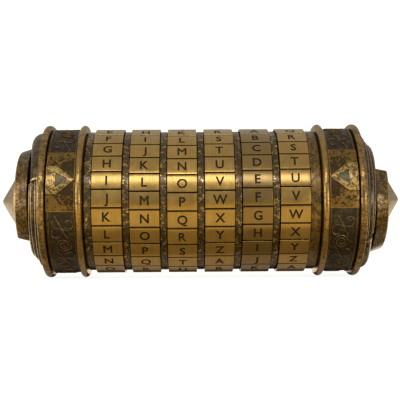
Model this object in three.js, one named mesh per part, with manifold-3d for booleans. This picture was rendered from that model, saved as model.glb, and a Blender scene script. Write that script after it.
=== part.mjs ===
// A cryptex: a small cylindrical vault whose drawer is locked by six lettered rings.
// The case is a slotted sleeve with a cap on its left end. The rings turn on the sleeve between
// fixed spacers. The drawer is a tube with a cap on its right end and a toothed key along its
// front. The key's teeth pass the rings only when every ring's notch stands in line with them.
// Millimetres: +X runs along the axis towards the drawer's cap, -Y is the front, +Z is up.
import * as THREE from "three";
import { mergeVertices } from "three/addons/utils/BufferGeometryUtils.js";
import Module from "manifold-3d";

const wasm = await Module();
wasm.setup();

// Driving dimensions, in millimetres, and angles in degrees above the front
// How far each cone's tip stands from the middle
const LEFT_TIP = 64.7;
const RIGHT_TIP = 65.3;
const RIM_RADIUS = 24.8;
const SIDES = 36;
const HIDDEN_SIDES = 24;
const CLEARANCE = 0.1;
const SEAT_CLEARANCE = 0.25;

const LETTERS = 26;
const RING_COUNT = 6;
const RING_PITCH = 11.56;
const RING_WIDTH = 9.1;
const RING_RADIUS = 23.4;
const RING_BORE = 18.4;
const PLATE_GAP = 0.35;
const PLATE_GAP_DEPTH = 0.5;
const SPACER_RADIUS = 22.6;
const SPACER_WIDTH = 2.2;

const KEY_ANGLE = 16.5;
// How far each ring's letters stand from the key, within the play of its notch
const RING_PLAY = [-0.7, -2.3, -3.5, -1.9, -0.2, 0.6];

const SLEEVE_OUTER = 15;
const SLEEVE_INNER = 13.6;
const DRAWER_OUTER = 13.3;
const DRAWER_INNER = 12.3;
const KEY_WIDTH = 3.2;
const KEY_TOP = 14.8;
const TOOTH_TOP = 16.6;
const TOOTH_LENGTH = 2.4;
const NOTCH_WIDTH = 3.8;
const NOTCH_TOP = 17;
const CODE_RING_WIDTH = 4.8;
const CODE_RING_RADIUS = 18;

// Places along the axis, measured outwards from the middle
const STACK_END = (RING_PITCH * (RING_COUNT - 1) + RING_WIDTH) / 2 + 0.15;
const LEFT_SPACER_END = 36;
const RIGHT_SPACER_END = 36.6;
const CAP_START = 36.15;
const RIM_WIDTH = 2.1;
const INNER_RIM_START = 36.3;
const BAND_START = INNER_RIM_START + RIM_WIDTH + 0.05;
const BAND_END = 47.3;
const OUTER_RIM_START = 47.7;
const CAP_END = OUTER_RIM_START + RIM_WIDTH;
const KNOB_START = 53.9;
const KNOB_FACE = 58.2;
// The drawer's cap stands this much further out than the left one
const RIGHT_STAND_OFF = 0.9;
const SHELL_RADIUS = 22;
const SHELL_WALL = 2.2;
const END_WALL = 3;
const SEAT_LENGTH = 2;
const SEAT_WALL = 1.8;
const BAND_RADIUS = 23.2;

// A round piece, turned about X from a profile of [along, radius] points that runs clockwise.
// Its flats stand at the stated radii, with one of them facing straight down.
function turned(profile, sides = SIDES) {
  const grow = 1 / Math.cos(Math.PI / sides);
  const points = profile.map(([x, r]) => new THREE.Vector2(r * grow, x));
  const endsOnAxis = profile[0][1] === 0;
  if (!endsOnAxis) points.push(points[0].clone());
  const geometry = new THREE.LatheGeometry(points, sides, Math.PI / sides);
  return geometry.rotateZ(-Math.PI / 2);
}

function tube(start, end, inner, outer, sides = SIDES) {
  const profile = [
    [start, inner],
    [start, outer],
    [end, outer],
    [end, inner],
  ];
  return turned(profile, sides);
}

function disc(start, end, radius, sides = SIDES) {
  const profile = [
    [start, 0],
    [start, radius],
    [end, radius],
    [end, 0],
  ];
  return turned(profile, sides);
}

// A block that stands at an angle above the front, from one radius to another.
function block(start, end, inner, outer, width, angle) {
  const box = new THREE.BoxGeometry(end - start, outer - inner, width);
  box.translate((start + end) / 2, -(inner + outer) / 2, 0);
  return box.rotateX(-THREE.MathUtils.degToRad(angle));
}

// A pin that stands at an angle above the front, square to the axis.
function radialPin(x, inner, outer, radius, angle) {
  const pin = new THREE.CylinderGeometry(radius, radius, outer - inner, 12);
  pin.translate(x, -(inner + outer) / 2, 0);
  return pin.rotateX(-THREE.MathUtils.degToRad(angle));
}

function solid(geometry) {
  const bare = geometry.clone();
  bare.deleteAttribute("normal");
  bare.deleteAttribute("uv");
  const merged = mergeVertices(bare, 1e-4);
  const mesh = new wasm.Mesh({
    numProp: 3,
    vertProperties: merged.attributes.position.array,
    triVerts: new Uint32Array(merged.index.array),
  });
  return new wasm.Manifold(mesh);
}

function geometryOf(body) {
  const mesh = body.getMesh();
  const geometry = new THREE.BufferGeometry();
  geometry.setAttribute("position", new THREE.BufferAttribute(mesh.vertProperties, 3));
  geometry.setIndex(new THREE.BufferAttribute(mesh.triVerts, 1));
  geometry.computeVertexNormals();
  return geometry;
}

function cut(geometry, ...tools) {
  let body = solid(geometry);
  for (const tool of tools) body = body.subtract(solid(tool));
  return geometryOf(body);
}

function metal(color, roughness, metalness = 1) {
  return new THREE.MeshStandardMaterial({ color, roughness, metalness });
}

const MATERIALS = {
  satinGold: metal(0xb08a45, 0.38),
  agedBronze: metal(0x6b5127, 0.5),
  blackened: metal(0x33291c, 0.55),
  polishedEdge: metal(0x8d6c33, 0.42),
  greyBronze: metal(0x8a7660, 0.5),
  plainBrass: metal(0xa58a4e, 0.35),
  steel: metal(0x777570, 0.4),
};

function named(name, geometry, material) {
  const mesh = new THREE.Mesh(geometry, MATERIALS[material]);
  mesh.name = name;
  return mesh;
}

// The lettered rings

function ringPlace(index) {
  return (index - (RING_COUNT - 1) / 2) * RING_PITCH;
}

// Twenty-six flat plates round a drum, with a groove between each two.
function letterRingGeometry() {
  const step = (2 * Math.PI) / LETTERS;
  const halfPlate = (step - PLATE_GAP / RING_RADIUS) / 2;
  const floor = RING_RADIUS - PLATE_GAP_DEPTH;
  const points = [];
  const add = (radius, angle) =>
    points.push(new THREE.Vector2(radius * Math.cos(angle), radius * Math.sin(angle)));
  for (let plate = 0; plate < LETTERS; plate++) {
    const middle = plate * step;
    add(floor, middle - halfPlate);
    add(RING_RADIUS, middle - halfPlate);
    add(RING_RADIUS, middle + halfPlate);
    add(floor, middle + halfPlate);
  }
  const outline = new THREE.Shape(points);
  const bore = new THREE.Path();
  bore.absarc(0, 0, RING_BORE, 0, 2 * Math.PI, true);
  outline.holes.push(bore);
  const drum = new THREE.ExtrudeGeometry(outline, {
    depth: RING_WIDTH,
    bevelEnabled: false,
    curveSegments: HIDDEN_SIDES / 2,
  });
  drum.translate(0, 0, -RING_WIDTH / 2);
  // Turned so that the extrusion runs along X and the first plate faces the front
  drum.rotateY(Math.PI / 2);
  return drum.rotateX(Math.PI / 2);
}

function codeRingGeometry() {
  const end = RING_WIDTH / 2 - 0.4;
  const start = end - CODE_RING_WIDTH;
  const ring = tube(start, end, SLEEVE_OUTER + 0.2, CODE_RING_RADIUS, HIDDEN_SIDES);
  const notch = block(start - 1, end + 1, SLEEVE_OUTER - 1, NOTCH_TOP, NOTCH_WIDTH, 0);
  return cut(ring, notch);
}

function letterRing(index) {
  const ring = new THREE.Group();
  const number = index + 1;
  const drum = named("letter_ring_" + number, letterRingGeometry(), "satinGold");
  drum.rotation.x = -THREE.MathUtils.degToRad(KEY_ANGLE + RING_PLAY[index]);
  const code = named("code_ring_" + number, codeRingGeometry(), "plainBrass");
  code.rotation.x = -THREE.MathUtils.degToRad(KEY_ANGLE);
  ring.add(drum, code);
  ring.position.x = ringPlace(index);
  return ring;
}

// The case: sleeve, spacers and the left cap

function sleeve() {
  const seatEnd = -(CAP_END - END_WALL - CLEARANCE);
  const wall = tube(seatEnd, RIGHT_SPACER_END, SLEEVE_INNER, SLEEVE_OUTER, HIDDEN_SIDES);
  const slotStart = -STACK_END - 0.5;
  const slotEnd = RIGHT_SPACER_END + 1;
  const slot = block(slotStart, slotEnd, 12, SLEEVE_OUTER + 1, NOTCH_WIDTH, KEY_ANGLE);
  return named("sleeve", cut(wall, slot), "plainBrass");
}

// The low ring on the left cap's end wall that the sleeve's end stands in
function sleeveSeat() {
  const start = -(CAP_END - END_WALL - CLEARANCE);
  const bore = SLEEVE_OUTER + SEAT_CLEARANCE;
  const ring = tube(start, start + SEAT_LENGTH, bore, bore + SEAT_WALL, HIDDEN_SIDES);
  return named("sleeve_seat", ring, "plainBrass");
}

function spacer(name, start, end) {
  const bore = SLEEVE_OUTER + CLEARANCE / 2;
  const plate = tube(start, end, bore, SPACER_RADIUS, HIDDEN_SIDES);
  const inner = SLEEVE_OUTER - 1;
  const notch = block(start - 1, end + 1, inner, NOTCH_TOP, NOTCH_WIDTH, KEY_ANGLE);
  return named(name, cut(plate, notch), "agedBronze");
}

function spacers() {
  const group = new THREE.Group();
  for (let gap = 1; gap < RING_COUNT; gap++) {
    const middle = ringPlace(gap - 0.5);
    const half = SPACER_WIDTH / 2;
    group.add(spacer("spacer_" + gap, middle - half, middle + half));
  }
  group.add(spacer("left_end_spacer", -LEFT_SPACER_END, -STACK_END));
  group.add(spacer("right_end_spacer", STACK_END, RIGHT_SPACER_END));
  return group;
}

// The drawer: tube, end plug, toothed key and the rivets that hold the key

const DRAWER_MOUTH = -38;
const DRAWER_SEAT = CAP_END - END_WALL - CLEARANCE + RIGHT_STAND_OFF;
const PLUG_LENGTH = 2;
const RIVET_PLACES = [-22.4, 0.72, 23.84];

function drawerTube() {
  const wall = tube(DRAWER_MOUTH, DRAWER_SEAT, DRAWER_INNER, DRAWER_OUTER, HIDDEN_SIDES);
  const holes = RIVET_PLACES.map((x) =>
    radialPin(x, DRAWER_INNER - 1, DRAWER_OUTER + 1, 1, KEY_ANGLE),
  );
  return named("drawer_tube", cut(wall, ...holes), "plainBrass");
}

function drawerPlug() {
  const start = DRAWER_SEAT - PLUG_LENGTH;
  const radius = DRAWER_INNER - CLEARANCE;
  const plug = tube(start, DRAWER_SEAT, SCREW_HOLE, radius, HIDDEN_SIDES);
  return named("drawer_plug", plug, "plainBrass");
}

// The key's side outline, along X and out from the axis, with one tooth beside each code ring.
function keyRail() {
  const foot = DRAWER_OUTER + CLEARANCE;
  const start = -STACK_END;
  const end = CAP_START - 0.4;
  const outline = new THREE.Shape();
  outline.moveTo(start, foot);
  outline.lineTo(start, KEY_TOP);
  for (let index = 0; index < RING_COUNT; index++) {
    const toothStart = ringPlace(index) - RING_WIDTH / 2 + 0.8;
    outline.lineTo(toothStart, KEY_TOP);
    outline.lineTo(toothStart, TOOTH_TOP);
    outline.lineTo(toothStart + TOOTH_LENGTH, TOOTH_TOP);
    outline.lineTo(toothStart + TOOTH_LENGTH, KEY_TOP);
  }
  outline.lineTo(end, KEY_TOP);
  outline.lineTo(end, foot);
  const bar = new THREE.ExtrudeGeometry(outline, { depth: KEY_WIDTH, bevelEnabled: false });
  bar.translate(0, 0, -KEY_WIDTH / 2);
  // Half a turn faces the teeth to the front, and the key's own angle follows
  bar.rotateX(Math.PI - THREE.MathUtils.degToRad(KEY_ANGLE));
  const holes = RIVET_PLACES.map((x) => radialPin(x, foot - 1, KEY_TOP + 1, 1, KEY_ANGLE));
  return named("key_rail", cut(bar, ...holes), "steel");
}

function keyRivets() {
  const group = new THREE.Group();
  RIVET_PLACES.forEach((x, index) => {
    const pin = radialPin(x, DRAWER_INNER + 0.1, KEY_TOP - 0.1, 0.9, KEY_ANGLE);
    group.add(named("key_rivet_" + (index + 1), pin, "steel"));
  });
  return group;
}

// The caps. Each is built facing +X, with its own angles measured above the front.

const SCREW_RADIUS = 2;
const SCREW_HOLE = 2.2;
const SCREW_SIDES = 24;
const SCREW_HEAD_RADIUS = 3.6;
const SCREW_HEAD_LENGTH = 1.8;
const SCREW_END = KNOB_START + 2.4;
const RIM_CROWN = 1.1;
// The object lies on its rims, so their flats are broad enough to stop it rolling.
const RIM_SIDES = 24;
const RIM_SHOULDER_STEPS = 2;

const PANEL_ARC = 47.6;
const PANEL_THICKNESS = 0.45;
const ARROW_HEIGHT = 0.6;
const ARROW_LENGTH = 8.8;
const ARROW_BODY = 3.2;
const ARROW_HALF_WIDTH = 4.5;

const COLLAR_STEPS = [
  [22, 50.2],
  [21, 51.1],
  [19.3, 52.5],
  [17.5, KNOB_START],
];
const COLLAR_INNER = 17.6;
const COLLAR_LIP = 19;
const COLLAR_SHELL = 22.4;
const COLLAR_TOP = 56.4;
// The slanted tops: their height on the axis, their rise over the collar's radius, and the
// angle from the step at which they stand highest
const SHELL_SLANT = { height: 53.6, rise: 1.6, highest: -120 };
const LIP_SLANT = { height: 54.2, rise: 0.9, highest: 148 };
const KNOB_CORNER_RADIUS = 16.4;
const KNOB_RADIUS = 17.2;
const KNOB_SMALL_RADIUS = 12;
const KNOB_FLAT = 88;
const KNOB_BEVEL = 0.3;
const KNOB_TAPER = 0.05;
const CONE_RADIUS = 8.8;
const CONE_SLOPE = 1.62;
const CONE_SEAT_DEPTH = 1.2;
const CONE_TIP_RADIUS = 0.7;

// A cup with an outer wall and an end wall
function capShell(name) {
  const innerEnd = CAP_END - END_WALL;
  const profile = [
    [innerEnd, SCREW_HOLE],
    [innerEnd, SHELL_RADIUS - SHELL_WALL],
    [CAP_START, SHELL_RADIUS - SHELL_WALL],
    [CAP_START, SHELL_RADIUS],
    [CAP_END, SHELL_RADIUS],
    [CAP_END, SCREW_HOLE],
  ];
  return named(name, turned(profile), "blackened");
}

// A raised rim with a flat crown between two rounded shoulders.
function rim(name, start) {
  const shoulder = (RIM_WIDTH - RIM_CROWN) / 2;
  const base = SHELL_RADIUS + CLEARANCE;
  const profile = [[start, base]];
  for (let step = 0; step <= RIM_SHOULDER_STEPS; step++) {
    const angle = (step / RIM_SHOULDER_STEPS) * (Math.PI / 2);
    const rise = RIM_RADIUS - shoulder + shoulder * Math.sin(angle);
    profile.push([start + shoulder * (1 - Math.cos(angle)), rise]);
  }
  for (let step = RIM_SHOULDER_STEPS; step >= 0; step--) {
    const angle = (step / RIM_SHOULDER_STEPS) * (Math.PI / 2);
    const rise = RIM_RADIUS - shoulder + shoulder * Math.sin(angle);
    profile.push([start + RIM_WIDTH - shoulder * (1 - Math.cos(angle)), rise]);
  }
  profile.push([start + RIM_WIDTH, base]);
  return named(name, turned(profile, RIM_SIDES), "polishedEdge");
}

function filigreeBand(name) {
  const band = tube(BAND_START, BAND_END, SHELL_RADIUS + CLEARANCE, BAND_RADIUS);
  return named(name, band, "blackened");
}

// A curved panel on the band, with a raised arrow that points at the rings.
function pointerPlate(name, angle) {
  const inner = BAND_RADIUS + CLEARANCE;
  const panelTop = inner + PANEL_THICKNESS;
  const arrowTop = panelTop + ARROW_HEIGHT;
  const height = 2 * panelTop * Math.sin(THREE.MathUtils.degToRad(PANEL_ARC / 2));
  const panelEnds = block(BAND_START, BAND_END, 18, RIM_RADIUS + 2, height, angle);
  const panel = solid(tube(BAND_START, BAND_END, inner, panelTop)).intersect(solid(panelEnds));

  const tail = BAND_END - 0.1;
  const outline = new THREE.Shape();
  outline.moveTo(tail, -ARROW_HALF_WIDTH);
  outline.lineTo(tail, ARROW_HALF_WIDTH);
  outline.lineTo(tail - ARROW_BODY, ARROW_HALF_WIDTH);
  outline.lineTo(tail - ARROW_LENGTH, 0);
  outline.lineTo(tail - ARROW_BODY, -ARROW_HALF_WIDTH);
  const column = new THREE.ExtrudeGeometry(outline, { depth: 10, bevelEnabled: false });
  column.rotateX(Math.PI / 2);
  column.translate(0, 2 - inner, 0);
  column.rotateX(-THREE.MathUtils.degToRad(angle));
  const skin = tube(BAND_START, BAND_END, inner, arrowTop);
  const arrow = solid(skin).intersect(solid(column));
  return named(name, geometryOf(panel.add(arrow)), "agedBronze");
}

// Takes away what stands above a slanted plane.
function slantedOff({ height, rise, highest }, stepAngle) {
  const tool = new THREE.BoxGeometry(30, 90, 90);
  tool.translate(15, 0, 0);
  tool.rotateZ(Math.atan(rise / COLLAR_INNER));
  tool.translate(height, 0, 0);
  return tool.rotateX(-THREE.MathUtils.degToRad(stepAngle + highest));
}

// Stepped ridges all round, a lip round the knob that climbs away from the step, and a rounded
// shell that climbs over the half turn on the step's other side.
function collar(name, stepAngle) {
  const base = CAP_END + CLEARANCE;
  const ridgeProfile = [[base, SCREW_HOLE]];
  let start = base;
  for (const [radius, end] of COLLAR_STEPS) {
    ridgeProfile.push([start, radius], [end, radius]);
    start = end;
  }
  ridgeProfile.push([KNOB_START, SCREW_HOLE]);
  const ridges = solid(turned(ridgeProfile));

  const foot = KNOB_START - 1;
  const lip = solid(tube(foot, COLLAR_TOP, COLLAR_INNER, COLLAR_LIP));

  const rise = COLLAR_TOP - base;
  const depth = COLLAR_SHELL - COLLAR_INNER;
  const shellProfile = [[base, COLLAR_INNER]];
  for (let step = 0; step <= 5; step++) {
    const angle = (step / 6) * (Math.PI / 2);
    const along = base + rise * Math.sin(angle);
    shellProfile.push([along, COLLAR_SHELL - depth * (1 - Math.cos(angle))]);
  }
  shellProfile.push([COLLAR_TOP, COLLAR_INNER + 0.6], [COLLAR_TOP, COLLAR_INNER]);
  const half = new THREE.BoxGeometry(20, 60, 30);
  half.translate(base + 8, 0, -15);
  half.rotateX(-THREE.MathUtils.degToRad(stepAngle));
  const shell = solid(turned(shellProfile)).intersect(solid(half));

  const climbingLip = lip.subtract(solid(slantedOff(LIP_SLANT, stepAngle)));
  const climbingShell = shell.subtract(solid(slantedOff(SHELL_SLANT, stepAngle)));
  const body = ridges.add(climbingLip).add(climbingShell);
  return named(name, geometryOf(body), "agedBronze");
}

// The knob's outline swells round the turn, and a straight flat closes it at a sharp corner.
function knobOutline(cornerAngle) {
  const outline = new THREE.Shape();
  const turn = 360 - KNOB_FLAT;
  const { lerp, smoothstep } = THREE.MathUtils;
  for (let step = 0; step <= HIDDEN_SIDES; step++) {
    const gone = step / HIDDEN_SIDES;
    const swollen = lerp(KNOB_CORNER_RADIUS, KNOB_RADIUS, smoothstep(gone, 0, 0.4));
    const radius = lerp(swollen, KNOB_SMALL_RADIUS, smoothstep(gone, 0.55, 1)) - KNOB_BEVEL;
    const angle = THREE.MathUtils.degToRad(cornerAngle - gone * turn);
    const across = -radius * Math.cos(angle);
    const up = radius * Math.sin(angle);
    if (step === 0) outline.moveTo(-up, across);
    else outline.lineTo(-up, across);
  }
  return outline;
}

function knob(name, cornerAngle) {
  const length = KNOB_FACE - KNOB_START - CLEARANCE;
  const body = new THREE.ExtrudeGeometry(knobOutline(cornerAngle), {
    depth: length - 2 * KNOB_BEVEL,
    bevelThickness: KNOB_BEVEL,
    bevelSize: KNOB_BEVEL,
    bevelSegments: 1,
  });
  const points = body.attributes.position;
  for (let i = 0; i < points.count; i++) {
    const size = 1 - KNOB_TAPER * (points.getZ(i) / length);
    points.setXY(i, points.getX(i) * size, points.getY(i) * size);
  }
  // A quarter turn lays the extrusion along X and its outline's x downwards
  body.rotateY(Math.PI / 2);
  body.translate(KNOB_START + CLEARANCE + KNOB_BEVEL, 0, 0);
  const screwHole = disc(KNOB_START - 1, SCREW_END + 0.3, SCREW_HOLE, SCREW_SIDES);
  const coneSeat = disc(KNOB_FACE - CONE_SEAT_DEPTH, KNOB_FACE + 1, CONE_RADIUS + CLEARANCE);
  return named(name, cut(body, screwHole, coneSeat), "agedBronze");
}

// A blunt cone on a short drum that stands in the knob's face.
function cone(name, tip) {
  const seat = KNOB_FACE - CONE_SEAT_DEPTH + CLEARANCE;
  const profile = [
    [seat, 0],
    [seat, CONE_RADIUS],
    [tip - CONE_RADIUS / CONE_SLOPE, CONE_RADIUS],
    [tip - 0.25, CONE_TIP_RADIUS],
    [tip, 0],
  ];
  return named(name, turned(profile), "greyBronze");
}

function capScrew(name, headEnd) {
  const headStart = headEnd - SCREW_HEAD_LENGTH;
  const profile = [
    [headStart, 0],
    [headStart, SCREW_HEAD_RADIUS],
    [headEnd, SCREW_HEAD_RADIUS],
    [headEnd, SCREW_RADIUS],
    [SCREW_END, SCREW_RADIUS],
    [SCREW_END, 0],
  ];
  return named(name, turned(profile, SCREW_SIDES), "steel");
}

function cap(side, options) {
  const { standOff, tip, screwHeadEnd, pointerAngle, stepAngle, cornerAngle } = options;
  const group = new THREE.Group();
  group.position.x = standOff;
  group.add(capShell(side + "_cap_shell"));
  group.add(rim(side + "_inner_rim", INNER_RIM_START));
  group.add(filigreeBand(side + "_filigree_band"));
  group.add(pointerPlate(side + "_pointer_plate", pointerAngle));
  group.add(rim(side + "_outer_rim", OUTER_RIM_START));
  group.add(collar(side + "_collar", stepAngle));
  group.add(knob(side + "_knob", cornerAngle));
  group.add(cone(side + "_cone", tip - standOff));
  group.add(capScrew(side + "_cap_screw", screwHeadEnd));
  return group;
}

const cryptex = new THREE.Group();

const leftCap = cap("left", {
  standOff: 0,
  tip: LEFT_TIP,
  screwHeadEnd: CAP_END - END_WALL - CLEARANCE,
  pointerAngle: -15.9,
  stepAngle: -17.5,
  cornerAngle: 49,
});
// Half a turn about the front-to-back line faces the left cap outwards
leftCap.rotation.y = Math.PI;

const rightCap = cap("right", {
  standOff: RIGHT_STAND_OFF,
  tip: RIGHT_TIP,
  screwHeadEnd: DRAWER_SEAT - RIGHT_STAND_OFF - PLUG_LENGTH - CLEARANCE,
  pointerAngle: 17.5,
  stepAngle: -35.4,
  cornerAngle: 36,
});

cryptex.add(leftCap, sleeve(), sleeveSeat(), spacers());
for (let index = 0; index < RING_COUNT; index++) cryptex.add(letterRing(index));
cryptex.add(drawerTube(), drawerPlug(), keyRail(), keyRivets(), rightCap);

export default cryptex;
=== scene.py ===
# The looks of a cryptex: a cylinder vault of aged brass with six lettered rings.
# Shapes are worked out in millimetres and written in metres. X runs along the axis, and an
# angle round the axis is an elevation above the front (-Y), in degrees, growing upwards.
import math
import random

import bmesh
import bpy
import numpy as np
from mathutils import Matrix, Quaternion, Vector
from mathutils.geometry import delaunay_2d_cdt


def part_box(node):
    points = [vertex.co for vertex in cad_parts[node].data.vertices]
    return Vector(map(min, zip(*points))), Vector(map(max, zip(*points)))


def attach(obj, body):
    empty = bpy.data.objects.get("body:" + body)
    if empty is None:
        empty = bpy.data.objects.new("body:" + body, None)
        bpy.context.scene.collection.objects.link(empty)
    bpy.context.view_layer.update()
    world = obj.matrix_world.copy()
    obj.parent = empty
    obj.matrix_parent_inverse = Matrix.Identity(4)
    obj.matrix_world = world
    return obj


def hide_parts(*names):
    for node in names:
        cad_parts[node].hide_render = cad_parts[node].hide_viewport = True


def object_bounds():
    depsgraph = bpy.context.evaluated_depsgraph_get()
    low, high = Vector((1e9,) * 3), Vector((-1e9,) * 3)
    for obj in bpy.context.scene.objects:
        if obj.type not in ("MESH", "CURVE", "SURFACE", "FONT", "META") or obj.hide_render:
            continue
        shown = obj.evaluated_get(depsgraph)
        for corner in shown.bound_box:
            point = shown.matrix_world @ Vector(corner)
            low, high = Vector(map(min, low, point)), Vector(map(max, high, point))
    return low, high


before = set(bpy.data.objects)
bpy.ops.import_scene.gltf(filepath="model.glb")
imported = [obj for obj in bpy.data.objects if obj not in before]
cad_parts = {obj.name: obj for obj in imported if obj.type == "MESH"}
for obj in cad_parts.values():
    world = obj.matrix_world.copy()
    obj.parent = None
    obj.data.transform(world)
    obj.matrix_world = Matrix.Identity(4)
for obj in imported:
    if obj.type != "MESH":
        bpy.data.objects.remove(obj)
cad_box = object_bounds()

MM = 0.001
SEGMENTS = 144
SHARP_ANGLE = math.radians(32)
CASE, DRAWER = "case", "drawer"

# The lettered rings
LETTERS = 26
LETTER_STEP = 360 / LETTERS
RING_COUNT = 6
RING_RADIUS = 23.4
RING_BORE = 18.4
PLATE_GAP = 0.5
PLATE_DEPTH = 0.55
PLATE_CHAMFER = 0.07
# A plate is cut into this many strips along its arc, so that it curves
PLATE_LINES = 8
# Its rounded edge: how far out and how far down, in chamfers, and the edge value there
PLATE_EDGE = ((0.6, 0.12, 1.0), (1.0, 0.6, 0.7))
KEY_ANGLE = 16.5
# Each ring's letter on the pointer row, how far its plate stands from the key, and its tarnish
POINTER_LETTERS = "ILOVEU"
RING_PLAY = (-0.7, -2.3, -3.5, -1.9, -0.2, 0.6)
RING_AGE = (0.1, 0.15, 0.0, 0.05, 1.0, 0.2)
# How much of a plate's tarnish is its ring's, and how much is its own
RING_SHARE, PLATE_SHARE = 0.75, 0.25

LETTER_HEIGHT = 2.95
LETTER_DEPTH = 0.3
LETTER_WEIGHT = 0.024

# Turned pieces between the rings and inside them
SPACER_RADIUS, SPACER_BORE, SPACER_CROWN = 22.6, 15.05, 0.06
DRAWER_OUTER, DRAWER_INNER = 13.3, 12.3

# The caps, measured in a cap that faces +X. The right cap stands a little further out.
STAND_OFF = {"left": 0.0, "right": 0.9}
SIDE = {"left": -1, "right": 1}
OWNER = {"left": CASE, "right": DRAWER}
CAP_BORE = 22.1
CROWN_STEPS = 12
BAND_START, BAND_END = 38.4, 47.3
BAND_RADIUS = 23.2

# The filigree
WIRE_HALF_WIDTH = 0.22
WIRE_HEIGHT = 0.28
SCROLL_MIDDLE = 42.6
ROSETTES = 10
FIRST_ROSETTE = 11.0
ROSETTE_RADIUS = 2.5
STEM_HALF_LENGTH = 4.6
CURL_RADIUS = 2.3

# The pointer plates. The arrow's sizes run along the axis from its tail.
PANEL_ANGLE = {"left": -15.9, "right": 17.5}
PANEL_ARC = 47.6
PANEL_TOP = 23.75
PANEL_LINES = 24
ARROW_TOP = 24.35
ARROW_LENGTH, ARROW_BODY, ARROW_HALF_WIDTH = 8.8, 3.2, 4.5
ARROW_LINES = 12
HOLLOW_START, HOLLOW_TIP, HOLLOW_HALF_WIDTH = 2.9, 7.0, 2.5
HOLLOW_DEPTH = 0.38
HOLLOW_CORNER = {"left": 0.35, "right": 0.9}

# The collars, which wind round from a step: the lip and the ridges below it climb by their rises
STEP_ANGLE = {"left": -17.5, "right": -35.4}
COLLAR_BASE = 49.9
COLLAR_RADIUS, COLLAR_BORE = 22.4, 17.45
LIP_START, LIP_RISE = 53.4, 1.2
SECOND_START, SECOND_RISE = 52.5, 0.2
THIRD_START, THIRD_RISE = 51.1, 0.5
SHELL_TOP, SHELL_RISE = 52.7, 1.7
SHELL_STEPS = 7

# The knobs and cones
KNOB_START, KNOB_FACE = 53.95, 58.2
KNOB_CORNER = {"left": 49, "right": 36}
KNOB_FLAT = 88
KNOB_RADIUS, KNOB_SWELL, KNOB_END_RADIUS = 16.4, 0.8, 12
KNOB_STEPS, KNOB_FLAT_STEPS = 96, 16
KNOB_SIZE, KNOB_TAPER = 1.02, 0.08
CONE_RADIUS = 8.8
CONE_SLOPE = 1.62

# The stage, in metres. The floor lies just under the object, and the cards lie on the floor.
FLOOR_HALF = 3.0
FLOOR_DROP = 0.0002
CARD_HEIGHT = 0.0005
WORLD_COLOR = (1.0, 0.95, 0.84, 1)
# The world's strength as the camera sees it, and as the metal does: there it climbs with the
# sine of the elevation (from, to, lowest, highest)
WORLD_SEEN = 1.25
WORLD_RISE = (0.45, 0.95, 0.4, 0.44)
WARM, PALE, CREAM = (1.0, 0.83, 0.46), (1.0, 0.94, 0.85), (1.0, 0.96, 0.87)

# The camera, in metres. Its roll is in degrees, its lens and sensor in millimetres.
CAMERA_DISTANCE = 0.304
CAMERA_ASIDE = -0.0043
CAMERA_AIM = (-0.00005, 0, 0.0002)
CAMERA_ROLL = 0.35
CAMERA_LENS = 83.1
CAMERA_SENSOR = 36

random.seed(26)


# Shapes

class Shape:
    """Points in millimetres, faces with a material number each, and two values per point.

    The edge value is 1 on edges that wear bright, -1 in corners that hold dirt, and 0 elsewhere.
    The tone runs from 0 to 1 and shifts a material between its clean and its tarnished look.
    """

    def __init__(self):
        self.points, self.edge, self.tone = [], [], []
        self.faces, self.kinds = [], []

    def add(self, points, edge, faces, kind=0, tone=0.5):
        """The kind and the tone are one value for all, or a list."""
        first = len(self.points)
        self.points.extend(points)
        self.edge.extend(edge)
        self.tone.extend([tone] * len(points) if isinstance(tone, float) else tone)
        self.faces.extend([tuple(first + i for i in face) for face in faces])
        self.kinds.extend([kind] * len(faces) if isinstance(kind, int) else kind)

    def on_cap(self, side):
        """Moves a shape built facing +X out to its cap, and turns it about Y for the left one."""
        sign, out = SIDE[side], STAND_OFF[side]
        self.points = [(sign * (x + out), y, sign * z) for x, y, z in self.points]
        return self

    def piece(self, name, materials):
        mesh = bpy.data.meshes.new(name)
        mesh.from_pydata([[c * MM for c in p] for p in self.points], [], self.faces)
        for label, values in (("edge", self.edge), ("tone", self.tone)):
            attribute = mesh.attributes.new(label, "FLOAT", "POINT")
            attribute.data.foreach_set("value", np.array(values, np.float32))
        mesh.polygons.foreach_set("material_index", self.kinds)
        for material in materials:
            mesh.materials.append(material)
        weld(mesh)
        mesh.shade_smooth()
        mesh.set_sharp_from_angle(angle=SHARP_ANGLE)
        made = bpy.data.objects.new(name, mesh)
        bpy.context.scene.collection.objects.link(made)
        return made


def weld(mesh):
    """Joins points that fall together, drops faces with no area and faces all outwards."""
    work = bmesh.new()
    work.from_mesh(mesh)
    bmesh.ops.remove_doubles(work, verts=work.verts, dist=1e-7)
    bmesh.ops.dissolve_degenerate(work, edges=work.edges, dist=1e-7)
    bmesh.ops.recalc_face_normals(work, faces=work.faces)
    work.to_mesh(mesh)
    work.free()


def place(x, radius, angle):
    """The point at x along the axis, at a radius and an elevation in degrees."""
    turn = math.radians(angle)
    return (x, -radius * math.cos(turn), radius * math.sin(turn))


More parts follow.
